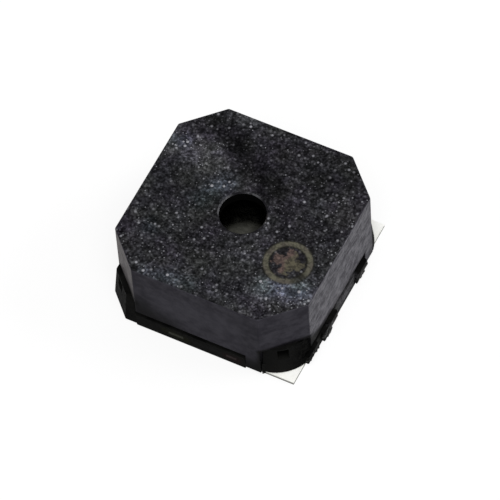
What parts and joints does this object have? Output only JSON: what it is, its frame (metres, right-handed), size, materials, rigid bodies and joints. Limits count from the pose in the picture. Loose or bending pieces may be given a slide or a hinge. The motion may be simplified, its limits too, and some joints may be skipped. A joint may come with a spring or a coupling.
{
  "type": "surface-mount buzzer",
  "caption": "Square low surface-mount buzzer with bevelled corners, a round sound hole in its top, flat corner solder pads and an electromagnet under a steel diaphragm.",
  "frame": {"origin": "middle of the package, in the plane of the solder pads' undersides", "axes": "+Z out of the top face with the sound hole; +X and -Y point to the two sides that meet at the plus pad"},
  "size_m": [0.0088, 0.0086, 0.004],
  "materials": {
    "cover_moulding": "spark-eroded charcoal",
    "base_moulding": "moulded black",
    "adhesive": "black cured glue",
    "tinned_metal": "satin tin plate over brass",
    "plated_steel": "zinc plated",
    "copper_winding": "enamelled copper wire",
    "magnet": "pressed magnet, matt",
    "diaphragm_steel": "olive-grey rolled steel",
    "solder": "bright solder",
    "resin": "cured potting resin"
  },
  "bodies": {
    "root": {"cover": "cover_moulding", "base": "base_moulding", "cover_adhesive": "adhesive", "plus_terminal": "tinned_metal", "minus_terminal": "tinned_metal", "support_terminal": "tinned_metal", "yoke_plate": "plated_steel", "pole_core": "plated_steel", "coil": "copper_winding", "ring_magnet": "magnet", "diaphragm": "diaphragm_steel", "diaphragm_mass": "diaphragm_steel", "plus_coil_lead": "copper_winding", "minus_coil_lead": "copper_winding", "plus_solder_joint": "solder", "minus_solder_joint": "solder", "plus_pocket_fill": "resin", "minus_pocket_fill": "resin"}
  },
  "joints": []
}
